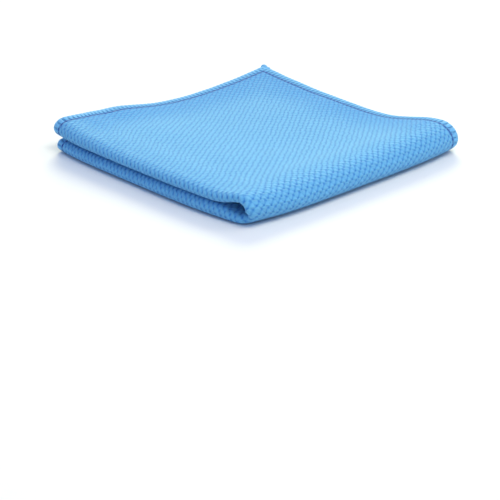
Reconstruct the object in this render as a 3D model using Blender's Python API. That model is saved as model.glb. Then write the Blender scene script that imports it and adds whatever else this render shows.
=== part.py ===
"""A square microfibre cleaning cloth, folded in half and then in half again.

The cloth is one closed sheet. Its flat cut is a square grid, and two folds carry the grid into
place. The first fold runs along the -Y side, where it leaves two soft rolls, one above the other.
The second runs along the +X side, where the outer layers go round the inner ones and leave a
hollow between them. The four hemmed edges lie together along the -X and +Y sides.

Lengths are in metres, +Z is up, and the cloth lies flat on z = 0. A place on the folded cloth is
given by how far across it lies past the second fold's bend, and how deep past the first fold's.
From the top the four layers are outer, inner, inner and outer: the first fold joins each outer
layer to its inner one, and the second joins the upper pair to the lower pair.
"""

import math
from collections import namedtuple

import bmesh
import bpy
from mathutils import Matrix, Vector

# The cloth.
CUT_SIDE = 0.300  # side of the flat square
SHEET = 0.0016  # thickness
AIR = 0.00037  # left between two layers that lie close
CLOTH_BLUE = (0.168, 0.503, 0.855, 1.0)
CLOTH_ROUGHNESS = 0.95

HALF = CUT_SIDE / 2  # cloth on each side of a fold
CLOSE = SHEET + AIR  # between the mid-planes of two layers that lie close

# The first fold's two rolls, by the distance across: how far each swells and how deep its nose is.
# Both go round the second fold as one tight turn, so there the noses are alike.
Roll = namedtuple("Roll", "at lower upper lower_nose upper_nose")
ROLLS = (
    Roll(at=0.000, lower=0.0036, upper=0.0030, lower_nose=0.0023, upper_nose=0.0023),
    Roll(at=0.018, lower=0.0036, upper=0.0030, lower_nose=0.0032, upper_nose=0.0045),
    Roll(at=0.075, lower=0.0031, upper=0.0034, lower_nose=0.0034, upper_nose=0.0060),
    Roll(at=0.150, lower=0.0030, upper=0.0062, lower_nose=0.0032, upper_nose=0.0056),
)
ROLL_REACH = 0.051  # depth over which the rolls sink into the flat cloth
ROLL_EASE = 2.6
ROLL_BOW = 0.0045  # how far the middle of the fold's line stands out
ROLL_ENDS = {"upper": -0.0010, "lower": -0.0030}  # how far the ends stand out past the hem
ROLL_END_FADES = 0.030

# The second fold's hollow, by the depth: how far it swells, the height of its tip, where it reaches
# furthest out, and how far it is from there in to the end of each bend.
Loop = namedtuple("Loop", "at swell tip lower_depth upper_depth")
LOOPS = (
    Loop(at=0.000, swell=0.0074, tip=0.0082, lower_depth=0.0066, upper_depth=0.0060),
    Loop(at=0.022, swell=0.0066, tip=0.0068, lower_depth=0.0066, upper_depth=0.0100),
    Loop(at=0.075, swell=0.0066, tip=0.0068, lower_depth=0.0066, upper_depth=0.0100),
    Loop(at=0.150, swell=0.0078, tip=0.0068, lower_depth=0.0066, upper_depth=0.0100),
)
LOOP_REACH = 0.026  # distance over which the hollow closes
LOOP_REACH_AT_ROLLS = 0.009  # and at the front corner, where the rolls press it shut
LOOP_REACH_GROWS = 0.030
LOOP_EASE = 2.2
LOOP_BOW = 0.0042
CORNER_ROUND = 0.0030  # how far the lower roll draws in halfway round the front corner
CORNER_SWELL = 0.0010  # how far each roll stays open as it goes round
CORNER_REACH = 0.008

BOW_SQUARENESS = 4  # a bow is flat in the middle and round near its ends
BOW_FADES = 0.050  # distance from a fold over which its bow and round corner fade out

# The back corner, where four hems meet and each space opens, furthest along the +Y side.
BACK_SWELL = 0.0015
BACK_REACH = (0.050, 0.034)
BACK_EASE = 1.5

# How far each layer's back corner lies out on the -X and +Y sides.
Slide = namedtuple("Slide", "across deep")
SLIDES = {
    ("upper", "outer"): Slide(across=0.0020, deep=0.0050),
    ("upper", "inner"): Slide(across=0.0002, deep=0.0008),
    ("lower", "inner"): Slide(across=0.0006, deep=-0.0008),
    ("lower", "outer"): Slide(across=-0.0014, deep=0.0012),
}

# The grid: steps round each quarter of a bend, and along the flat cloth past it.
BEND_STEPS = 5
FLAT_STEPS = 17
FLAT_GROWTH = 1.6  # steps are short at the fold and long at the hem

Station = namedtuple("Station", "side turn run")  # turn goes from 0 to 1, and then run does
Spaces = namedtuple("Spaces", "lower middle upper")


def fall(distance, reach, ease):
    """1 at no distance, easing to 0 past the reach."""
    return math.exp(-((max(distance, 0) / reach) ** ease))


def column(rows, name, at):
    """A column of a table at this place, eased from row to row."""
    high = next((row for row in rows[1:] if at <= row.at), rows[-1])
    low = rows[rows.index(high) - 1]
    share = min((at - low.at) / (high.at - low.at), 1)
    eased = share * share * (3 - 2 * share)
    return (1 - eased) * getattr(low, name) + eased * getattr(high, name)


def bow(height, along):
    """How far a fold's line stands out, from nothing at one end to nothing at the other."""
    return height * (1 - abs(2 * along / HALF - 1) ** BOW_SQUARENESS)


def quarter_length(depth, rise):
    """About the length of a quarter of an ellipse."""
    return math.pi / 2 * math.sqrt((depth**2 + rise**2) / 2)


def stations():
    """The lines of the grid, from one hem over the fold to the other."""
    bend = [Station(1, step / BEND_STEPS, 0) for step in range(BEND_STEPS + 1)]
    flat = [Station(1, 1, (step / FLAT_STEPS) ** FLAT_GROWTH) for step in range(1, FLAT_STEPS + 1)]
    near = bend + flat
    far = [station._replace(side=-1) for station in near[1:]]
    return near[::-1] + far


def loop_share(across, deep):
    """How open the second fold's hollow is here, from 1 at the bend to 0."""
    shorter = (LOOP_REACH - LOOP_REACH_AT_ROLLS) * fall(deep, LOOP_REACH_GROWS, 2)
    return fall(across, LOOP_REACH - shorter, LOOP_EASE)


def spaces(across, deep):
    """The distances between the mid-planes of neighbouring layers."""
    loop = loop_share(across, deep)
    roll = fall(deep, ROLL_REACH, ROLL_EASE) * (1 - loop)
    back = BACK_SWELL * (1 - loop)
    for distance, reach in zip((across, deep), BACK_REACH):
        back *= fall(HALF - distance, reach, BACK_EASE)
    turning = CORNER_SWELL * fall(deep, CORNER_REACH, 2) * loop
    return Spaces(
        lower=CLOSE + column(ROLLS, "lower", across) * roll + back + turning,
        middle=CLOSE + column(LOOPS, "swell", deep) * loop + back - 2 * turning,
        upper=CLOSE + column(ROLLS, "upper", across) * roll + back + turning,
    )


def pair_height(branch, gaps):
    """How high the middle of a pair of layers lies."""
    if branch == "lower":
        return SHEET / 2 + gaps.lower / 2
    return SHEET / 2 + gaps.lower + gaps.middle + gaps.upper / 2


def loop_point(second, across, deep):
    """How far in and how high the middle of the pair is, and its normal away from the hollow."""
    branch, up = ("upper", 1) if second.side > 0 else ("lower", -1)
    depth = column(LOOPS, branch + "_depth", deep)
    if second.run:
        return depth + across, pair_height(branch, spaces(across, deep)), 0, up
    tip = column(LOOPS, "tip", deep)
    angle = second.turn * math.pi / 2
    rise = abs(pair_height(branch, spaces(0, deep)) - tip)
    normal_in, normal_up = -rise * math.cos(angle), depth * math.sin(angle)
    length = math.hypot(normal_in, normal_up)
    inward = depth * (1 - math.cos(angle))
    return inward, tip + up * rise * math.sin(angle), normal_in / length, up * normal_up / length


def folded(second, first):
    """Where the two folds carry the crossing of these stations."""
    branch = "upper" if second.side > 0 else "lower"
    layer = "outer" if first.side > 0 else "inner"

    # How far this place lies past the second fold's bend, and then past the first fold's nose.
    rough_deep = first.run * HALF
    loop_rise = pair_height(branch, spaces(0, rough_deep)) - column(LOOPS, "tip", rough_deep)
    loop_depth = column(LOOPS, branch + "_depth", rough_deep)
    across = second.run * (HALF - quarter_length(loop_depth, loop_rise))
    nose_rise = getattr(spaces(across, 0), branch) / 2
    nose = column(ROLLS, branch + "_nose", across)
    deep = first.run * (HALF - quarter_length(nose, nose_rise))

    inward, height, normal_in, normal_up = loop_point(second, across, deep)
    turn = first.turn * math.pi / 2
    off_middle = first.side * math.sin(turn) * getattr(spaces(across, deep), branch) / 2
    x_in = inward + normal_in * off_middle - bow(LOOP_BOW, deep) * fall(across, BOW_FADES, 2)
    y_in = nose * (1 - math.cos(turn)) + deep

    # The round front corner and the bow of the rolls, which both fade out towards the hem.
    corner = CORNER_ROUND * math.sin(second.turn * math.pi) if branch == "lower" else 0
    y_in += (corner - bow(ROLL_BOW, across)) * fall(deep, BOW_FADES, 2)

    # The ends of the rolls, and the layers sliding out of line towards the back corner.
    x_in += ROLL_ENDS[branch] * (across / HALF) ** 2 * fall(deep, ROLL_END_FADES, 2)
    slide = SLIDES[branch, layer]
    x_in += slide.across * (across * deep / HALF**2) ** 2
    y_in += slide.deep * (across * deep / HALF**2) ** 2
    return HALF / 2 - x_in, y_in - HALF / 2, height + normal_up * off_middle


def cloth_material():
    material = bpy.data.materials.new("microfibre_knit")
    material.use_nodes = True
    shader = material.node_tree.nodes["Principled BSDF"]
    shader.inputs["Base Color"].default_value = CLOTH_BLUE
    shader.inputs["Roughness"].default_value = CLOTH_ROUGHNESS
    return material


def folded_cloth():
    """The flat square as a grid, carried into its folds and then given its thickness."""
    lines = stations()
    steps = len(lines) - 1
    bm = bmesh.new()
    bmesh.ops.create_grid(bm, x_segments=steps, y_segments=steps, size=0.5)
    for vert in bm.verts:
        second, first = (lines[round((place + 0.5) * steps)] for place in vert.co.xy)
        vert.co = folded(second, first)
    mesh = bpy.data.meshes.new("cloth")
    bm.to_mesh(mesh)
    bm.free()

    cloth = bpy.data.objects.new("cloth", mesh)
    cloth.data.materials.append(cloth_material())
    bpy.context.scene.collection.objects.link(cloth)
    thickness = cloth.modifiers.new("thickness", "SOLIDIFY")
    thickness.thickness = SHEET
    thickness.offset = 0
    return cloth


def centre_on_footprint(cloth):
    """Moves the mesh so that the cloth's box stands on the origin."""
    bpy.context.view_layer.update()
    solid = cloth.evaluated_get(bpy.context.evaluated_depsgraph_get())
    low, high = (Vector(pick(axis) for axis in zip(*solid.bound_box)) for pick in (min, max))
    middle = (low + high) / 2
    cloth.data.transform(Matrix.Translation((-middle.x, -middle.y, -low.z)))


def main():
    for startup_object in list(bpy.data.objects):
        bpy.data.objects.remove(startup_object)
    cloth = folded_cloth()
    centre_on_footprint(cloth)
    cloth.data.shade_smooth()


main()
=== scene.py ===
"""A square microfibre cleaning cloth, folded in half and then in half again, on a pale floor.

The file is laid out as an add-on: the settings come first, then the folds, the pieces, their
materials and the stage, each with its operator, and a panel in the sidebar that lists them.

The cloth is a flat square that two folds carry into place, so a place on it is given twice: by its
flat (x, y) on the cut square, where the weave and the stitches are laid out, and by where the folds
carry it. The first fold runs along the -Y side and leaves two soft rolls, one above the other. The
second runs along the +X side and leaves a hollow. The four hems lie along the -X and +Y sides.

Lengths are in metres and +Z is up.
"""

import math
from collections import namedtuple

import bmesh
import bpy
from mathutils import Matrix, Vector, noise


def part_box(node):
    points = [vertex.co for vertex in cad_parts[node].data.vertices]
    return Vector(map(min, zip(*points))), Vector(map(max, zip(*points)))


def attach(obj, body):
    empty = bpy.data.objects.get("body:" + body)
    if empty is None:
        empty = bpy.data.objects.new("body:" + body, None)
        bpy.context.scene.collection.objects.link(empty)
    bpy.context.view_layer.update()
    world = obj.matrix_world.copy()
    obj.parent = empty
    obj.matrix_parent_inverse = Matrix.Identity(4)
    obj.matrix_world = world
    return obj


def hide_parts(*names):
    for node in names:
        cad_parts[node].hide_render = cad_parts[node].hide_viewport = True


bl_info = {
    "name": "Folded Microfibre Cloth",
    "version": (1, 0, 0),
    "blender": (4, 5, 0),
    "location": "View3D > Sidebar > Cloth",
    "description": "Builds a folded microfibre cloth with an overlocked edge, on a pale floor",
    "category": "Add Mesh",
}

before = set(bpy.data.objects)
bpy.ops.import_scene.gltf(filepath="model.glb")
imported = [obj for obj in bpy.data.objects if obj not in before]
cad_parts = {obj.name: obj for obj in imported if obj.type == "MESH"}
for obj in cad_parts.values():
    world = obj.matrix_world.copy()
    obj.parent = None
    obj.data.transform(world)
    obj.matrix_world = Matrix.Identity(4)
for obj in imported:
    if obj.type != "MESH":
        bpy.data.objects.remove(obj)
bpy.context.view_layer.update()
CLOTH_LOW, CLOTH_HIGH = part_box("cloth")
MM = 0.001


def linear(hex_colour):
    """An sRGB hex colour as linear red, green and blue."""
    channels = [int(hex_colour[at : at + 2], 16) / 255 for at in (1, 3, 5)]
    return [c / 12.92 if c <= 0.04045 else ((c + 0.055) / 1.055) ** 2.4 for c in channels]


# ---------------------------------------------------------------------------- settings


class ClothSettings(bpy.types.PropertyGroup):
    scale_width: bpy.props.FloatProperty(
        name="Scale width",
        description="Width of one diamond of the knit, across the cloth towards the second fold",
        default=0.0031,
        unit="LENGTH",
    )
    scale_length: bpy.props.FloatProperty(
        name="Scale length",
        description="Length of one diamond of the knit, along the cloth towards the first fold",
        default=0.0041,
        unit="LENGTH",
    )
    relief: bpy.props.FloatProperty(
        name="Relief", description="Height of the knit's diamonds", default=0.0006, unit="LENGTH"
    )
    raised: bpy.props.FloatVectorProperty(
        name="Raised yarn",
        description="Colour of the diamonds' brushed tops",
        default=linear("#6BB6DF"),
        subtype="COLOR",
        size=3,
    )
    # Painted shade: a deeper blue on the diamonds' tops along the hems, standing in for the light
    # that falls off there.
    painted_hem_shade: bpy.props.FloatVectorProperty(
        name="Hem shade",
        description="Colour painted on the diamonds' tops along the hems, as shade",
        default=linear("#52A4D9"),
        subtype="COLOR",
        size=3,
    )
    # Painted shade: the grooves are darkened in colour as well as bumped, where shade falls between
    # the diamonds.
    painted_groove_shade: bpy.props.FloatVectorProperty(
        name="Groove shade",
        description="Colour of the shade painted in the grooves between the diamonds",
        default=linear("#2672C2"),
        subtype="COLOR",
        size=3,
    )


class HemSettings(bpy.types.PropertyGroup):
    width: bpy.props.FloatProperty(
        name="Width", description="From the edge to the needle line", default=0.0046, unit="LENGTH"
    )
    sheet: bpy.props.FloatProperty(
        name="Pressed sheet",
        description="Thickness of the knit where the overlock presses it",
        default=0.0008,
        unit="LENGTH",
    )
    pitch: bpy.props.FloatProperty(
        name="Stitch", description="From one stitch to the next", default=0.0026, unit="LENGTH"
    )
    yarn: bpy.props.FloatProperty(
        name="Yarn", description="Width of the overlock yarn", default=0.0024, unit="LENGTH"
    )
    colour: bpy.props.FloatVectorProperty(
        name="Yarn colour",
        description="Colour of the overlock yarn",
        default=linear("#75BFED"),
        subtype="COLOR",
        size=3,
    )
    # Painted shade: the dark of the pricks along the needle line, where shade falls beside the
    # stitches.
    needle_line_shade: bpy.props.FloatVectorProperty(
        name="Needle line shade",
        description="Colour of the shaded pricks at the stitches' inner ends",
        default=linear("#0F4698"),
        subtype="COLOR",
        size=3,
    )


class StageSettings(bpy.types.PropertyGroup):
    azimuth: bpy.props.FloatProperty(
        name="Azimuth",
        description="Direction that the camera looks in, turned from +Y towards -X",
        default=math.radians(46.9),
        unit="ROTATION",
    )
    elevation: bpy.props.FloatProperty(
        name="Elevation",
        description="Angle that the camera looks down at",
        default=math.radians(24.16),
        unit="ROTATION",
    )
    roll: bpy.props.FloatProperty(
        name="Roll", description="Turn of the camera", default=math.radians(-0.26), unit="ROTATION"
    )
    distance: bpy.props.FloatProperty(
        name="Distance", description="From the camera to its aim", default=0.9104, unit="LENGTH"
    )
    lens: bpy.props.FloatProperty(
        name="Lens", description="Focal length in millimetres", default=124.1
    )
    aim_right: bpy.props.FloatProperty(
        name="Aim right",
        description="How far to the right of the cloth's foot the camera aims",
        default=-0.0039,
        unit="LENGTH",
    )
    aim_up: bpy.props.FloatProperty(
        name="Aim up",
        description="How far above the cloth's foot the camera aims",
        default=-0.0519,
        unit="LENGTH",
    )
    floor: bpy.props.FloatVectorProperty(
        name="Floor",
        description="Colour of the floor",
        default=linear("#EEEDE9"),
        subtype="COLOR",
        size=3,
    )


# ---------------------------------------------------------------------------- the folds

CUT_SIDE = 0.300  # side of the flat square
HALF = CUT_SIDE / 2  # cloth on each side of a fold
SHEET = 0.0016  # thickness
AIR = 0.00037  # left between two layers that lie close
CLOSE = SHEET + AIR  # between the mid-planes of two layers that lie close

# The first fold's two rolls, by the distance across: how far each swells and how deep its nose is.
# Both go round the second fold as one tight turn, so there the noses are alike.
Roll = namedtuple("Roll", "at lower upper lower_nose upper_nose")
ROLLS = (
    Roll(at=0.000, lower=0.0036, upper=0.0030, lower_nose=0.0023, upper_nose=0.0023),
    Roll(at=0.018, lower=0.0036, upper=0.0030, lower_nose=0.0032, upper_nose=0.0045),
    Roll(at=0.075, lower=0.0031, upper=0.0034, lower_nose=0.0034, upper_nose=0.0060),
    Roll(at=0.150, lower=0.0030, upper=0.0062, lower_nose=0.0032, upper_nose=0.0056),
)
ROLL_REACH = 0.051  # depth over which the rolls sink into the flat cloth
ROLL_EASE = 2.6
ROLL_BOW = 0.0045  # how far the middle of the fold's line stands out
ROLL_ENDS = {"upper": -0.0010, "lower": -0.0030}  # how far the ends stand out past the hem
ROLL_END_FADES = 0.030

# The second fold's hollow, by the depth: how far it swells, the height of its tip, where it reaches
# furthest out, and how far it is from there in to the end of each bend.
Loop = namedtuple("Loop", "at swell tip lower_depth upper_depth")
LOOPS = (
    Loop(at=0.000, swell=0.0074, tip=0.0082, lower_depth=0.0066, upper_depth=0.0060),
    Loop(at=0.022, swell=0.0066, tip=0.0068, lower_depth=0.0066, upper_depth=0.0100),
    Loop(at=0.075, swell=0.0066, tip=0.0068, lower_depth=0.0066, upper_depth=0.0100),
    Loop(at=0.150, swell=0.0078, tip=0.0068, lower_depth=0.0066, upper_depth=0.0100),
)
LOOP_REACH = 0.026  # distance over which the hollow closes
LOOP_REACH_AT_ROLLS = 0.009  # and at the front corner, where the rolls press it shut
LOOP_REACH_GROWS = 0.030
LOOP_EASE = 2.2
LOOP_BOW = 0.0042
CORNER_ROUND = 0.0030  # how far the lower roll draws in halfway round the front corner
CORNER_SWELL = 0.0010  # how far each roll stays open as it goes round
CORNER_REACH = 0.008

BOW_SQUARENESS = 4  # a bow is flat in the middle and round near its ends
BOW_FADES = 0.050  # distance from a fold over which its bow and round corner fade out

# The back corner, where four hems meet and each space opens, furthest along the +Y side.
BACK_SWELL = 0.0015
BACK_REACH = (0.050, 0.034)
BACK_EASE = 1.5

# How far each layer's back corner lies out on the -X and +Y sides.
Slide = namedtuple("Slide", "across deep")
SLIDES = {
    ("upper", "outer"): Slide(across=0.0020, deep=0.0050),
    ("upper", "inner"): Slide(across=0.0002, deep=0.0008),
    ("lower", "inner"): Slide(across=0.0006, deep=-0.0008),
    ("lower", "outer"): Slide(across=-0.0014, deep=0.0012),
}

Station = namedtuple("Station", "side turn run")  # turn goes from 0 to 1, and then run does
Spaces = namedtuple("Spaces", "lower middle upper")


def fall(distance, reach, ease):
    """1 at no distance, easing to 0 past the reach."""
    return math.exp(-((max(distance, 0) / reach) ** ease))


def ease(share):
    """A share between 0 and 1, changed so that it starts and ends slowly."""
    return share * share * (3 - 2 * share)


def column(rows, name, at):
    """A column of a table at this place, eased from row to row."""
    high = next((row for row in rows[1:] if at <= row.at), rows[-1])
    low = rows[rows.index(high) - 1]
    share = ease(min((at - low.at) / (high.at - low.at), 1))
    return (1 - share) * getattr(low, name) + share * getattr(high, name)


def bow(height, along):
    """How far a fold's line stands out, from nothing at one end to nothing at the other."""
    return height * (1 - abs(2 * along / HALF - 1) ** BOW_SQUARENESS)


def quarter_length(depth, rise):
    """About the length of a quarter of an ellipse."""
    return math.pi / 2 * math.sqrt((depth**2 + rise**2) / 2)


def loop_share(across, deep):
    """How open the second fold's hollow is here, from 1 at the bend to 0."""
    shorter = (LOOP_REACH - LOOP_REACH_AT_ROLLS) * fall(deep, LOOP_REACH_GROWS, 2)
    return fall(across, LOOP_REACH - shorter, LOOP_EASE)


def spaces(across, deep):
    """The distances between the mid-planes of neighbouring layers."""
    loop = loop_share(across, deep)
    roll = fall(deep, ROLL_REACH, ROLL_EASE) * (1 - loop)
    back = BACK_SWELL * (1 - loop)
    for distance, reach in zip((across, deep), BACK_REACH):
        back *= fall(HALF - distance, reach, BACK_EASE)
    turning = CORNER_SWELL * fall(deep, CORNER_REACH, 2) * loop
    return Spaces(
        lower=CLOSE + column(ROLLS, "lower", across) * roll + back + turning,
        middle=CLOSE + column(LOOPS, "swell", deep) * loop + back - 2 * turning,
        upper=CLOSE + column(ROLLS, "upper", across) * roll + back + turning,
    )


def pair_height(branch, gaps):
    """How high the middle of a pair of layers lies."""
    if branch == "lower":
        return SHEET / 2 + gaps.lower / 2
    return SHEET / 2 + gaps.lower + gaps.middle + gaps.upper / 2


def loop_point(second, across, deep):
    """How far in and how high the middle of the pair is, and its normal away from the hollow."""
    branch, up = ("upper", 1) if second.side > 0 else ("lower", -1)
    depth = column(LOOPS, branch + "_depth", deep)
    if second.run:
        return depth + across, pair_height(branch, spaces(across, deep)), 0, up
    tip = column(LOOPS, "tip", deep)
    angle = second.turn * math.pi / 2
    rise = abs(pair_height(branch, spaces(0, deep)) - tip)
    normal_in, normal_up = -rise * math.cos(angle), depth * math.sin(angle)
    length = math.hypot(normal_in, normal_up)
    inward = depth * (1 - math.cos(angle))
    return inward, tip + up * rise * math.sin(angle), normal_in / length, up * normal_up / length


def station(place, bend_length):
    """The station of a flat place, by how far it lies from the fold's line."""
    side, far = (1, -place) if place < 0 else (-1, place)
    if far <= bend_length:
        return Station(side, far / bend_length, 0)
    return Station(side, 1, (far - bend_length) / (HALF - bend_length))


def folded(x, y):
    """Where the two folds carry a place on the middle of the flat cloth."""
    branch = "upper" if x < 0 else "lower"
    layer = "outer" if y < 0 else "inner"

    # How far this place lies past the second fold's bend, and then past the first fold's nose.
    loop_rise = pair_height(branch, spaces(0, abs(y))) - column(LOOPS, "tip", abs(y))
    loop_length = quarter_length(column(LOOPS, branch + "_depth", abs(y)), loop_rise)
    second = station(x, loop_length)
    across = second.run * (HALF - loop_length)
    nose_rise = getattr(spaces(across, 0), branch) / 2
    nose = column(ROLLS, branch + "_nose", across)
    nose_length = quarter_length(nose, nose_rise)
    first = station(y, nose_length)
    deep = first.run * (HALF - nose_length)

    inward, height, normal_in, normal_up = loop_point(second, across, deep)
    turn = first.turn * math.pi / 2
    off_middle = first.side * math.sin(turn) * getattr(spaces(across, deep), branch) / 2
    x_in = inward + normal_in * off_middle - bow(LOOP_BOW, deep) * fall(across, BOW_FADES, 2)
    y_in = nose * (1 - math.cos(turn)) + deep

    # The round front corner and the bow of the rolls, which both fade out towards the hem.
    corner = CORNER_ROUND * math.sin(second.turn * math.pi) if branch == "lower" else 0
    y_in += (corner - bow(ROLL_BOW, across)) * fall(deep, BOW_FADES, 2)

    # The ends of the rolls, and the layers sliding out of line towards the back corner.
    x_in += ROLL_ENDS[branch] * (across / HALF) ** 2 * fall(deep, ROLL_END_FADES, 2)
    slide = SLIDES[branch, layer]
    x_in += slide.across * (across * deep / HALF**2) ** 2
    y_in += slide.deep * (across * deep / HALF**2) ** 2
    return Vector((HALF / 2 - x_in, y_in - HALF / 2, height + normal_up * off_middle))


FOOTPRINT_STEPS = 40


def footprint_shift():
    """What moves the folded cloth onto the frame's, whose box stands on the origin."""
    steps = range(-FOOTPRINT_STEPS, FOOTPRINT_STEPS + 1)
    lines = [HALF * step / FOOTPRINT_STEPS for step in steps]
    places = [folded(x, y) for x in lines for y in lines]
    wall = SHEET / 2
    left, right = min(p.x for p in places), max(p.x for p in places) + wall
    front, back = min(p.y for p in places) - wall, max(p.y for p in places)
    middle = (CLOTH_LOW + CLOTH_HIGH) / 2
    return Vector((middle.x - (left + right) / 2, middle.y - (front + back) / 2, CLOTH_LOW.z))


SHIFT = footprint_shift()


# The soft ridges and troughs that the folded cloth has settled into, by the place of their middle:
# how far they reach along and across, how far they are turned from +Y, and how high they stand at
# the top. They fade towards the floor, so that the bottom layer still lies flat.
Crease = namedtuple("Crease", "x y along across turn height")
CREASES = (
    # Behind the second fold's ridge, and the ridge itself towards the front.
    Crease(x=0.046, y=0.012, along=0.060, across=0.010, turn=-3, height=-0.0010),
    Crease(x=0.060, y=-0.036, along=0.040, across=0.008, turn=4, height=0.0008),
    # The first fold's ridge and the trough behind it.
    Crease(x=0.000, y=-0.066, along=0.050, across=0.009, turn=92, height=0.0006),
    Crease(x=-0.010, y=-0.050, along=0.055, across=0.010, turn=92, height=-0.0004),
    # Across the back corner, whose hems stand up a little.
    Crease(x=-0.046, y=0.043, along=0.034, across=0.011, turn=-36, height=-0.0010),
    Crease(x=-0.078, y=0.080, along=0.024, across=0.022, turn=0, height=0.0010),
    # Along the left hem, which stands up beside a trough.
    Crease(x=-0.079, y=-0.028, along=0.030, across=0.012, turn=0, height=0.0013),
    Crease(x=-0.057, y=-0.034, along=0.030, across=0.012, turn=4, height=-0.0012),
    Crease(x=-0.074, y=-0.066, along=0.010, across=0.012, turn=0, height=0.0011),
    Crease(x=-0.072, y=-0.045, along=0.010, across=0.016, turn=0, height=-0.0009),
    # Smaller ones in the middle.
    Crease(x=-0.016, y=0.050, along=0.022, across=0.007, turn=-8, height=0.0006),
    Crease(x=0.005, y=0.050, along=0.020, across=0.009, turn=-8, height=-0.0006),
    Crease(x=0.030, y=-0.008, along=0.020, across=0.010, turn=-12, height=0.0005),
    Crease(x=-0.004, y=-0.036, along=0.018, across=0.009, turn=25, height=-0.0006),
    Crease(x=0.020, y=-0.052, along=0.014, across=0.008, turn=60, height=-0.0005),
    Crease(x=-0.044, y=-0.004, along=0.022, across=0.010, turn=60, height=-0.0005),
)
RIPPLE = 0.00025  # uneven height all over
RIPPLE_LENGTH = 0.013


def on_cloth(x, y):
    """Where a flat place on the middle of the cloth lies, creases included."""
    place = folded(x, y) + SHIFT
    lift = RIPPLE * noise.noise((place.x / RIPPLE_LENGTH, place.y / RIPPLE_LENGTH, 0))
    for crease in CREASES:
        turn = math.radians(crease.turn)
        off_x, off_y = place.x - crease.x, place.y - crease.y
        along = (off_y * math.cos(turn) - off_x * math.sin(turn)) / crease.along
        across = (off_x * math.cos(turn) + off_y * math.sin(turn)) / crease.across
        lift += crease.height * math.exp(-(along**2) - across**2)
    place.z *= 1 + lift / CLOTH_HIGH.z
    return place


def cloth_frame(x, y):
    """A place on the cloth with its two directions along the cloth and its outward normal."""
    step = 0.4 * MM
    limit = HALF - step
    near_x, near_y = min(max(x, -limit), limit), min(max(y, -limit), limit)
    along_x = (on_cloth(near_x + step, near_y) - on_cloth(near_x - step, near_y)).normalized()
    along_y = (on_cloth(near_x, near_y + step) - on_cloth(near_x, near_y - step)).normalized()
    place = on_cloth(near_x, near_y) + (x - near_x) * along_x + (y - near_y) * along_y
    return place, along_x, along_y, along_y.cross(along_x).normalized()


# ---------------------------------------------------------------------------- helpers


def finished(bm, name, material):
    """The bmesh as an object at the origin, with its material."""
    mesh = bpy.data.meshes.new(name)
    bm.to_mesh(mesh)
    bm.free()
    mesh.materials.append(material)
    mesh.shade_smooth()
    piece = bpy.data.objects.new(name, mesh)
    bpy.context.scene.collection.objects.link(piece)
    return piece


def add_node(tree, kind, inputs=(), **settings):
    """A node with its settings, and each input linked or set, by number where names repeat."""
    node = tree.nodes.new(kind)
    for name, value in settings.items():
        setattr(node, name, value)
    for name, value in dict(inputs).items():
        if isinstance(value, bpy.types.NodeSocket):
            tree.links.new(value, node.inputs[name])
        else:
            node.inputs[name].default_value = value
    return node


def brushed_microfibre(name):
    """A material of brushed split fibres, matt with a pale sheen on its fuzz, and its shader."""
    material = bpy.data.materials.new(name)
    material.use_nodes = True
    shader = material.node_tree.nodes["Principled BSDF"]
    shader.inputs["Roughness"].default_value = 0.9
    shader.inputs["Specular IOR Level"].default_value = 0.25
    shader.inputs["Sheen Weight"].default_value = 0.3
    shader.inputs["Sheen Roughness"].default_value = 0.5
    shader.inputs["Sheen Tint"].default_value = (*linear("#CFEBFF"), 1)
    return material, shader


# ---------------------------------------------------------------------------- the cloth

# The grid's lines on each side of a fold, by how far from the fold they reach: fine where the
# cloth bends, coarse where it lies flat and fine again where the hem presses it.
Stretch = namedtuple("Stretch", "to lines")
GRID = (
    Stretch(to=0.007, lines=10),
    Stretch(to=0.020, lines=11),
    Stretch(to=0.1452, lines=70),
    Stretch(to=0.1464, lines=4),
    Stretch(to=0.150, lines=3),
)
HEM_RECOVERS = 0.8 * MM  # next to the needle line, where the pressed knit thickens again

# The knit's pattern, whose lengths are in millimetres on the flat cloth.
WANDER = 1.5  # how far the pillows are shifted here and there, because no yarn lies straight
WANDER_LENGTH = 5.5
LEANS = (0.8, 0, 0.8)  # how far the waves across, along and over the slant lean to one side
PILLOW_SHARPNESS = (1.4, 0.9)  # how narrow a pillow is across its row and along it
RIB_SHARE = 0.2  # the slanting ribs' share of the height, of which the pillows have the rest
FUZZ_SHARE = 0.35
FUZZ_LENGTH = 0.45  # coarser than split fibres, which are too fine to show
GROOVE_SHADE_HEIGHTS = (0.12, 0.58)  # the heights below which the painted groove shade is full, and above which the raised colour shows alone

# The knit near the hems, with its lengths in millimetres too.
PRESS_FADES = 0.4  # just outside the needle line, over which the knit's pattern goes
PRESSED_HEIGHT = 0.3  # how high the knit stands past it, as a share of its pillows' height
# The pricks by the needle line are darkened with painted shade.
PRICK_INWARD = 0.4  # from the needle line to the pricks' middle
PRICK_WIDTH = 1.1  # from there to where they end
PRICK_SHADE = 0.8
PRICK_SWING = 0.2  # how much darker they are between two stitches, and paler under one
# Painted shade along the hems, which darkens the knit towards its edges.
HEM_SHADE_REACH = (38, 8)  # from an edge: where the painted hem shade starts, and where it is full
HEM_SHADE_OFF_FOLD = (8, 20)  # and the same along the hem, from where a fold ends there


def stitch_count(hem):
    """How many stitches of about the set pitch fill one hem."""
    return round(CUT_SIDE / hem.pitch)


def grid_lines():
    """Flat distances of the grid's lines, from one hem to the other."""
    near = [0]
    for stretch in GRID:
        start = near[-1]
        steps = range(1, stretch.lines + 1)
        near += [start + (stretch.to - start) * step / stretch.lines for step in steps]
    return [-line for line in near[:0:-1]] + near


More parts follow.
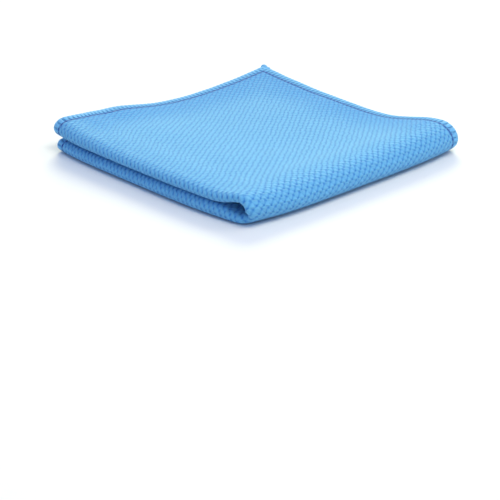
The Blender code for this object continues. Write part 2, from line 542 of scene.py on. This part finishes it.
def knit_height(tree, place, settings):
    """How high the knit stands at a flat place, from its pillows, its ribs and its fuzz."""
    wander = add_node(
        tree,
        "ShaderNodeTexNoise",
        {"Vector": place, "Scale": 1 / WANDER_LENGTH, "Detail": 2.0},
        noise_dimensions="2D",
    )
    shifted = add_node(
        tree,
        "ShaderNodeVectorMath",
        {0: wander.outputs["Color"], 1: (WANDER, WANDER, 0), 2: place},
        operation="MULTIPLY_ADD",
    )

    # How far round its repeat a place lies, across the pillows, along them and over their slant.
    along = add_node(tree, "ShaderNodeSeparateXYZ", {0: shifted.outputs[0]})
    turns = []
    for axis, repeat in enumerate((settings.scale_width, settings.scale_length)):
        turn = add_node(
            tree,
            "ShaderNodeMath",
            {0: along.outputs[axis], 1: 2 * math.pi * MM / repeat},
            operation="MULTIPLY",
        )
        turns.append(turn.outputs[0])
    slant = add_node(tree, "ShaderNodeMath", {0: turns[0], 1: turns[1]}, operation="SUBTRACT")
    waves = []
    for turn, lean in zip((*turns, slant.outputs[0]), LEANS):
        swing = add_node(tree, "ShaderNodeMath", {0: turn}, operation="COSINE")
        leant = add_node(
            tree,
            "ShaderNodeMath",
            {0: swing.outputs[0], 1: lean, 2: turn},
            operation="MULTIPLY_ADD",
        )
        wave = add_node(tree, "ShaderNodeMath", {0: leant.outputs[0]}, operation="COSINE")
        waves.append(wave.outputs[0])

    # Oval pillows in rows, each row half a pillow on from the next, so that they lie like bricks.
    rows = []
    for phase in (0.5, -0.5):
        sides = []
        for wave, sharpness in zip(waves, PILLOW_SHARPNESS):
            dome = add_node(
                tree, "ShaderNodeMath", {0: wave, 1: phase, 2: 0.5}, operation="MULTIPLY_ADD"
            )
            side = add_node(
                tree, "ShaderNodeMath", {0: dome.outputs[0], 1: sharpness}, operation="POWER"
            )
            sides.append(side.outputs[0])
        row = add_node(tree, "ShaderNodeMath", {0: sides[0], 1: sides[1]}, operation="MULTIPLY")
        rows.append(row.outputs[0])
    bricks = add_node(tree, "ShaderNodeMath", {0: rows[0], 1: rows[1]}, operation="MAXIMUM")

    # The pillows lean against each other along one slant, which shows as fine ribs from afar.
    rib = add_node(
        tree, "ShaderNodeMath", {0: waves[2], 1: 0.5, 2: 0.5}, operation="MULTIPLY_ADD"
    )
    diamonds = add_node(
        tree,
        "ShaderNodeMix",
        {0: RIB_SHARE, 2: bricks.outputs[0], 3: rib.outputs[0]},
        data_type="FLOAT",
    )

    # Short fibres brushed up all over.
    fuzz = add_node(
        tree,
        "ShaderNodeTexNoise",
        {"Vector": place, "Scale": 1 / FUZZ_LENGTH, "Detail": 3.0, "Roughness": 0.65},
        noise_dimensions="2D",
    )
    fuzzy = add_node(
        tree,
        "ShaderNodeMath",
        {0: fuzz.outputs[0], 1: FUZZ_SHARE, 2: diamonds.outputs[0]},
        operation="MULTIPLY_ADD",
    )
    return fuzzy.outputs[0]


def painted_prick_shade(tree, furthest, nearest, needle_line, hem):
    """How much shade is painted in the row of pricks by the needle line, darkest between two
    stitches.
    """
    off_line = add_node(
        tree, "ShaderNodeMath", {0: furthest, 1: needle_line - PRICK_INWARD}, operation="SUBTRACT"
    )
    aside = add_node(tree, "ShaderNodeMath", {0: off_line.outputs[0]}, operation="ABSOLUTE")
    line = add_node(
        tree,
        "ShaderNodeMapRange",
        {"Value": aside.outputs[0], "From Min": PRICK_WIDTH, "From Max": PRICK_WIDTH / 2},
        interpolation_type="SMOOTHSTEP",
    )
    stitch_turns = add_node(
        tree,
        "ShaderNodeMath",
        {0: nearest, 1: 2 * math.pi * stitch_count(hem) * MM / CUT_SIDE},
        operation="MULTIPLY",
    )
    under = add_node(tree, "ShaderNodeMath", {0: stitch_turns.outputs[0]}, operation="COSINE")
    shade = add_node(
        tree,
        "ShaderNodeMath",
        {0: under.outputs[0], 1: -PRICK_SWING, 2: PRICK_SHADE},
        operation="MULTIPLY_ADD",
    )
    prick_shade = add_node(
        tree, "ShaderNodeMath", {0: line.outputs[0], 1: shade.outputs[0]}, operation="MULTIPLY"
    )
    return prick_shade.outputs[0]


def painted_hem_shade_share(tree, apart):
    """How much painted shade darkens the knit along each hem, but not where a fold ends there."""
    shares = []
    for off_hem, along_hem in ((0, 1), (1, 0)):
        # Painted shade: full near the hem, fading towards the folds.
        shade_starts, flat = (HALF / MM - inward for inward in HEM_SHADE_REACH)
        near_hem = add_node(
            tree,
            "ShaderNodeMapRange",
            {"Value": apart.outputs[off_hem], "From Min": shade_starts, "From Max": flat},
            interpolation_type="SMOOTHSTEP",
        )
        shade_starts, flat = HEM_SHADE_OFF_FOLD
        off_fold = add_node(
            tree,
            "ShaderNodeMapRange",
            {"Value": apart.outputs[along_hem], "From Min": shade_starts, "From Max": flat},
            interpolation_type="SMOOTHSTEP",
        )
        share = add_node(
            tree,
            "ShaderNodeMath",
            {0: near_hem.outputs[0], 1: off_fold.outputs[0]},
            operation="MULTIPLY",
        )
        shares.append(share.outputs[0])
    painted_hem_shade = add_node(tree, "ShaderNodeMath", {0: shares[0], 1: shares[1]}, operation="MAXIMUM")
    return painted_hem_shade.outputs[0]


def microfibre_knit(settings, hem):
    """Brushed microfibre knit: soft pale pillows, with shade painted in the grooves and a deeper
    blue painted by the hems as shade.
    """
    material, shader = brushed_microfibre("brushed_microfibre_knit")
    tree = material.node_tree

    # The flat place in millimetres, and how far it lies from each fold.
    flat = add_node(tree, "ShaderNodeUVMap", uv_map="flat_cut")
    place = add_node(
        tree,
        "ShaderNodeVectorMath",
        {0: flat.outputs[0], 1: (CUT_SIDE / MM,) * 3, 2: (-HALF / MM, -HALF / MM, 0)},
        operation="MULTIPLY_ADD",
    )
    off_folds = add_node(
        tree, "ShaderNodeVectorMath", {0: place.outputs[0]}, operation="ABSOLUTE"
    )
    apart = add_node(tree, "ShaderNodeSeparateXYZ", {0: off_folds.outputs[0]})
    furthest, nearest = (
        add_node(
            tree, "ShaderNodeMath", {0: apart.outputs[0], 1: apart.outputs[1]}, operation=pick
        ).outputs[0]
        for pick in ("MAXIMUM", "MINIMUM")
    )

    # The knit's colour, with shade painted in its grooves by its height and a deeper blue painted
    # by the hems.
    height = knit_height(tree, place.outputs[0], settings)
    # Painted shade: the lower the knit stands, the more of the groove shade colour it gets.
    raised_share = add_node(
        tree, "ShaderNodeMapRange", {"Value": height, "From Min": GROOVE_SHADE_HEIGHTS[0], "From Max": GROOVE_SHADE_HEIGHTS[1]}
    )
    # Painted shade: the tops turn a deeper blue towards the hems.
    hem_shaded = add_node(
        tree,
        "ShaderNodeMix",
        {0: painted_hem_shade_share(tree, apart), 6: (*settings.raised, 1), 7: (*settings.painted_hem_shade, 1)},
        data_type="RGBA",
    )
    colour = add_node(
        tree,
        "ShaderNodeMix",
        {0: raised_share.outputs[0], 6: (*settings.painted_groove_shade, 1), 7: hem_shaded.outputs[2]},
        data_type="RGBA",
    )

    # The hem, pressed flat from the edge to the needle line, with shade painted in its pricks
    # there.
    needle_line = (HALF - hem.width) / MM
    pressed = add_node(
        tree,
        "ShaderNodeMapRange",
        {"Value": furthest, "From Min": needle_line, "From Max": needle_line + PRESS_FADES},
        interpolation_type="SMOOTHSTEP",
    )
    hemmed = add_node(
        tree,
        "ShaderNodeMix",
        {0: pressed.outputs[0], 6: colour.outputs[2], 7: (*hem.colour, 1)},
        data_type="RGBA",
    )
    prick_shade = painted_prick_shade(tree, furthest, nearest, needle_line, hem)
    # Painted shade in the pricks along the needle line.
    shaded = add_node(
        tree,
        "ShaderNodeMix",
        {0: prick_shade, 6: hemmed.outputs[2], 7: (*hem.needle_line_shade, 1)},
        data_type="RGBA",
    )
    hemmed_height = add_node(
        tree,
        "ShaderNodeMix",
        {0: pressed.outputs[0], 2: height, 3: PRESSED_HEIGHT},
        data_type="FLOAT",
    )
    bump = add_node(
        tree, "ShaderNodeBump", {"Height": hemmed_height.outputs[0], "Distance": settings.relief}
    )
    tree.links.new(shaded.outputs[2], shader.inputs["Base Color"])
    tree.links.new(bump.outputs[0], shader.inputs["Normal"])
    return material


class CLOTH_OT_add_cloth(bpy.types.Operator):
    """Add the folded cloth in place of the frame's plain solid"""

    bl_idname = "microfibre.add_cloth"
    bl_label = "Add Cloth"

    def execute(self, context):
        settings = context.scene.microfibre_cloth
        hem = context.scene.microfibre_hem
        lines = grid_lines()
        steps = len(lines) - 1
        bm = bmesh.new()
        bmesh.ops.create_grid(bm, x_segments=steps, y_segments=steps, size=0.5)
        flat_cut = bm.loops.layers.uv.new("flat_cut")
        flat_places = {}
        for vert in bm.verts:
            flat_places[vert] = [lines[round((at + 0.5) * steps)] for at in vert.co.xy]
            vert.co = on_cloth(*flat_places[vert])
        for face in bm.faces:
            for loop in face.loops:
                loop[flat_cut].uv = [at / CUT_SIDE + 0.5 for at in flat_places[loop.vert]]
        from_edge = [HALF - max(map(abs, flat_places[vert])) for vert in bm.verts]
        cloth = finished(bm, "folded_cloth", microfibre_knit(settings, hem))
        unpressed = cloth.vertex_groups.new(name="unpressed")
        for index, distance in enumerate(from_edge):
            share = min(max((distance - hem.width) / HEM_RECOVERS + 1, 0), 1)
            unpressed.add([index], ease(share), "REPLACE")
        wall = cloth.modifiers.new("wall", "SOLIDIFY")
        wall.thickness = SHEET
        wall.offset = 0
        wall.vertex_group = unpressed.name
        wall.thickness_vertex_group = hem.sheet / SHEET
        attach(cloth, "root")
        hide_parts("cloth")
        return {"FINISHED"}


# ---------------------------------------------------------------------------- the overlocked edge

# Each stitch lays these strands over the edge: how far on in the stitch, how far each leans in
# stitches, and its width and rise as shares of the yarn's width.
Strand = namedtuple("Strand", "on lean width rise")
STRANDS = (
    Strand(on=0.0, lean=0.5, width=1.08, rise=0.09),
    Strand(on=0.5, lean=-0.5, width=0.85, rise=0.05),
)

# A strand's way from the needle line to the edge, by how far in it lies as a share of the hem's
# width and by how far out it stands as a share of its rise. The way back mirrors it.
Bend = namedtuple("Bend", "inward rise")
BENDS = (
    Bend(inward=1.06, rise=0.70),
    Bend(inward=0.98, rise=1.00),
    Bend(inward=0.62, rise=1.00),
    Bend(inward=0.32, rise=1.00),
    Bend(inward=0.08, rise=0.88),
    Bend(inward=-0.06, rise=0.50),
    Bend(inward=-0.10, rise=0.00),
)
STRAND_SIDES = 6
STRAND_BLUNTNESS = 0.22  # 0 for square ends and 1 for pointed ones
YARN_FLATNESS = 0.23
YARN_FUZZ_LENGTH = 0.35 * MM  # coarser than split fibres, which are too fine to show
YARN_RELIEF = 0.1 * MM
YARN_SHADE = 0.75  # how bright the yarn is between its fibres, as a share of its colour


def spun_yarn(hem):
    """Fluffy microfibre yarn, loosely spun, with a little shade between its fibres."""
    material, shader = brushed_microfibre("spun_microfibre_yarn")
    tree = material.node_tree
    coordinates = add_node(tree, "ShaderNodeTexCoord")
    fuzz = add_node(
        tree,
        "ShaderNodeTexNoise",
        {"Vector": coordinates.outputs["Object"], "Scale": 1 / YARN_FUZZ_LENGTH, "Detail": 3.0},
    )
    shade = [channel * YARN_SHADE for channel in hem.colour]
    colour = add_node(
        tree,
        "ShaderNodeMix",
        {0: fuzz.outputs[0], 6: (*shade, 1), 7: (*hem.colour, 1)},
        data_type="RGBA",
    )
    bump = add_node(
        tree, "ShaderNodeBump", {"Height": fuzz.outputs[0], "Distance": YARN_RELIEF}
    )
    tree.links.new(colour.outputs[2], shader.inputs["Base Color"])
    tree.links.new(bump.outputs[0], shader.inputs["Normal"])
    return material


def edge_place(edge, along, inward):
    """The flat place this far along one of the four hems and this far in from its edge."""
    far = HALF - inward
    return ((along, -far), (far, along), (-along, far), (-far, -along))[edge]


def strand_route(edge, along, strand, hem):
    """A strand's way from the needle line over the edge and back, with its direction beside."""
    full_rise = hem.sheet / 2 + strand.rise * hem.yarn
    back = [bend._replace(rise=-bend.rise) for bend in reversed(BENDS[:-1])]
    bends = [*BENDS, *back]
    route = []
    for step, bend in enumerate(bends):
        share = step / (len(bends) - 1) - 0.5
        at = along + strand.lean * hem.pitch * share
        flat = edge_place(edge, at, bend.inward * hem.width)
        place, along_x, along_y, normal = cloth_frame(*flat)
        beside = along_y if edge % 2 else along_x
        route.append((place + bend.rise * full_rise * normal, beside))
    return route


def add_tube(bm, route, width, flatness, sides):
    """A flattened tube along a route, rounded off at both ends."""
    last = len(route) - 1
    made = bmesh.ops.create_grid(bm, x_segments=last, y_segments=sides, size=0.5)
    for vert in made["verts"]:
        step = round((vert.co.x + 0.5) * last)
        angle = 2 * math.pi * round((vert.co.y + 0.5) * sides) / sides
        place, beside = route[step]
        ahead = (route[min(step + 1, last)][0] - route[max(step - 1, 0)][0]).normalized()
        beside = (beside - ahead * beside.dot(ahead)).normalized()
        out = beside.cross(ahead)
        full = width / 2 * math.sin(math.pi * step / last) ** STRAND_BLUNTNESS
        vert.co = place + full * (beside * math.cos(angle) + out * flatness * math.sin(angle))


class CLOTH_OT_add_overlock(bpy.types.Operator):
    """Add the yarn that wraps the four edges of the cloth"""

    bl_idname = "microfibre.add_overlock"
    bl_label = "Add Overlock"

    def execute(self, context):
        hem = context.scene.microfibre_hem
        count = stitch_count(hem)
        bm = bmesh.new()
        for edge in range(4):
            for stitch in range(count):
                for strand in STRANDS:
                    along = (stitch + 0.5 + strand.on) * CUT_SIDE / count - HALF
                    route = strand_route(edge, min(along, HALF), strand, hem)
                    add_tube(bm, route, strand.width * hem.yarn, YARN_FLATNESS, STRAND_SIDES)
        bmesh.ops.remove_doubles(bm, verts=bm.verts, dist=1e-7)
        bmesh.ops.recalc_face_normals(bm, faces=bm.faces)
        yarn = finished(bm, "overlock_yarn", spun_yarn(hem))
        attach(yarn, "root")
        return {"FINISHED"}


# The end of the overlock, a short loop pulled tight round the back corner: how far out past the
# corner along the diagonal, how far up, and how far aside.
TailPoint = namedtuple("TailPoint", "out up aside")
TAIL = (
    TailPoint(out=-0.0040, up=-0.0004, aside=0.0004),
    TailPoint(out=-0.0022, up=0.0000, aside=0.0008),
    TailPoint(out=-0.0002, up=0.0002, aside=0.0008),
    TailPoint(out=0.0010, up=0.0000, aside=-0.0002),
    TailPoint(out=0.0008, up=-0.0006, aside=-0.0008),
    TailPoint(out=-0.0003, up=-0.0009, aside=-0.0005),
    TailPoint(out=-0.0018, up=-0.0007, aside=0.0002),
)
TAIL_YARN = 0.0024
TAIL_STEPS = 30
TAIL_SIDES = 12


def smooth_point(before, start, end, after, share):
    """A place between start and end on a smooth curve through all four."""
    return 0.5 * (
        2 * start
        + (end - before) * share
        + (2 * before - 5 * start + 4 * end - after) * share**2
        + (3 * start - before - 3 * end + after) * share**3
    )


class CLOTH_OT_add_tail(bpy.types.Operator):
    """Add the short loop of yarn in which the overlock ends, at the back corner"""

    bl_idname = "microfibre.add_tail"
    bl_label = "Add Thread Tail"

    def execute(self, context):
        place, along_x, along_y, normal = cloth_frame(-HALF, -HALF)
        out = -(along_x + along_y).normalized()
        aside = out.cross(normal)
        points = [place + p.out * out + p.up * normal + p.aside * aside for p in TAIL]
        route = []
        for step in range(TAIL_STEPS + 1):
            at = step / TAIL_STEPS * (len(points) - 1)
            first = min(int(at), len(points) - 2)
            before, start, end, after = (
                points[min(max(first + n, 0), len(points) - 1)] for n in (-1, 0, 1, 2)
            )
            route.append((smooth_point(before, start, end, after, at - first), aside))
        bm = bmesh.new()
        add_tube(bm, route, TAIL_YARN, 1, TAIL_SIDES)
        bmesh.ops.remove_doubles(bm, verts=bm.verts, dist=1e-7)
        bmesh.ops.recalc_face_normals(bm, faces=bm.faces)
        tail = finished(bm, "thread_tail", spun_yarn(context.scene.microfibre_hem))
        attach(tail, "root")
        return {"FINISHED"}


# ---------------------------------------------------------------------------- the stage


# The lights, each a round softbox that faces the cloth, by how far round it stands from the
# camera's right, how high and how far off it stands, its power and its colour. The near one lights
# the front more than the back.
Softbox = namedtuple("Softbox", "name azimuth elevation distance power colour")
SOFTBOXES = (
    Softbox("back_softbox", azimuth=90, elevation=25, distance=3.0, power=98, colour="#FFF6C0"),
    Softbox("side_softbox", azimuth=5, elevation=40, distance=3.0, power=18, colour="#FFFBE6"),
    Softbox("top_softbox", azimuth=-60, elevation=65, distance=0.6, power=1.6, colour="#FFFBE6"),
)
SOFTBOX_SPREAD = 0.6  # a softbox's width as a share of its distance
AIR_COLOUR = "#9DB0DA"  # the room, and the blue that the cloth throws back on itself
AIR_STRENGTH = 1.1
FLOOR_REACH = 6  # each way, so that its end is out of sight
FLOOR_DROP = 0.3 * MM  # below the cloth's foot, so that no yarn goes through it


class CLOTH_OT_add_stage(bpy.types.Operator):
    """Add the floor, the lights and the camera"""

    bl_idname = "microfibre.add_stage"
    bl_label = "Add Stage"

    def execute(self, context):
        settings = context.scene.microfibre_stage
        self.add_floor(settings)
        self.add_lights(context, settings)
        self.add_camera(context, settings)
        return {"FINISHED"}

    def add_floor(self, settings):
        material = bpy.data.materials.new("matt_studio_board")
        material.use_nodes = True
        shader = material.node_tree.nodes["Principled BSDF"]
        shader.inputs["Base Color"].default_value = (*settings.floor, 1)
        shader.inputs["Roughness"].default_value = 0.9
        bm = bmesh.new()
        bmesh.ops.create_grid(bm, x_segments=1, y_segments=1, size=FLOOR_REACH)
        bmesh.ops.translate(bm, verts=bm.verts, vec=(0, 0, -FLOOR_DROP))
        floor = finished(bm, "floor", material)

    def add_lights(self, context, settings):
        scene = context.scene
        scene.view_settings.view_transform = "Standard"
        world = bpy.data.worlds.new("studio_air")
        world.use_nodes = True
        background = world.node_tree.nodes["Background"]
        background.inputs["Color"].default_value = (*linear(AIR_COLOUR), 1)
        background.inputs["Strength"].default_value = AIR_STRENGTH
        scene.world = world
        for softbox in SOFTBOXES:
            light = bpy.data.lights.new(softbox.name, "AREA")
            light.shape = "DISK"
            light.size = SOFTBOX_SPREAD * softbox.distance
            light.energy = softbox.power
            light.color = linear(softbox.colour)
            lamp = bpy.data.objects.new(softbox.name, light)
            azimuth = settings.azimuth + math.radians(softbox.azimuth)
            elevation = math.radians(softbox.elevation)
            ahead = Vector((math.cos(azimuth), math.sin(azimuth), 0)) * math.cos(elevation)
            place = softbox.distance * (ahead + Vector((0, 0, math.sin(elevation))))
            lamp.location = place
            lamp.rotation_mode = "QUATERNION"
            lamp.rotation_quaternion = (-place).to_track_quat("-Z", "Y")
            scene.collection.objects.link(lamp)

    def add_camera(self, context, settings):
        azimuth, elevation = settings.azimuth, settings.elevation
        right = Vector((math.cos(azimuth), math.sin(azimuth), 0))
        ahead = Vector(
            (
                -math.sin(azimuth) * math.cos(elevation),
                math.cos(azimuth) * math.cos(elevation),
                -math.sin(elevation),
            )
        )
        up = right.cross(ahead)
        aim = right * settings.aim_right + up * settings.aim_up
        lens = bpy.data.cameras.new("camera")
        lens.sensor_fit = "HORIZONTAL"
        lens.sensor_width = 36
        lens.lens = settings.lens
        camera = bpy.data.objects.new("camera", lens)
        turn = Matrix((right, up, -ahead)).transposed() @ Matrix.Rotation(settings.roll, 3, "Z")
        camera.matrix_world = Matrix.Translation(aim - ahead * settings.distance) @ turn.to_4x4()
        context.scene.collection.objects.link(camera)
        context.scene.camera = camera


# ---------------------------------------------------------------------------- panel and main


class CLOTH_PT_panel(bpy.types.Panel):
    """Lists the operators, each with its settings"""

    bl_idname = "CLOTH_PT_panel"
    bl_label = "Microfibre Cloth"
    bl_space_type = "VIEW_3D"
    bl_region_type = "UI"
    bl_category = "Cloth"

    def draw(self, context):
        layout = self.layout
        for operator, settings in STEPS:
            layout.operator(operator.bl_idname)
            if settings:
                group = getattr(context.scene, settings)
                for name in group.bl_rna.properties.keys():
                    if name not in ("rna_type", "name"):
                        layout.prop(group, name)


GROUPS = {
    "microfibre_cloth": ClothSettings,
    "microfibre_hem": HemSettings,
    "microfibre_stage": StageSettings,
}
STEPS = (
    (CLOTH_OT_add_overlock, "microfibre_hem"),
    (CLOTH_OT_add_tail, None),
    (CLOTH_OT_add_cloth, "microfibre_cloth"),
    (CLOTH_OT_add_stage, "microfibre_stage"),
)


def register():
    for name, group in GROUPS.items():
        bpy.utils.register_class(group)
        setattr(bpy.types.Scene, name, bpy.props.PointerProperty(type=group))
    for operator, _ in STEPS:
        bpy.utils.register_class(operator)
    bpy.utils.register_class(CLOTH_PT_panel)


def unregister():
    bpy.utils.unregister_class(CLOTH_PT_panel)
    for operator, _ in reversed(STEPS):
        bpy.utils.unregister_class(operator)
    for name, group in reversed(GROUPS.items()):
        delattr(bpy.types.Scene, name)
        bpy.utils.unregister_class(group)


def main():
    register()
    bpy.ops.microfibre.add_overlock()
    bpy.ops.microfibre.add_tail()
    bpy.ops.microfibre.add_cloth()
    bpy.ops.microfibre.add_stage()


if __name__ == "__main__":
    main()
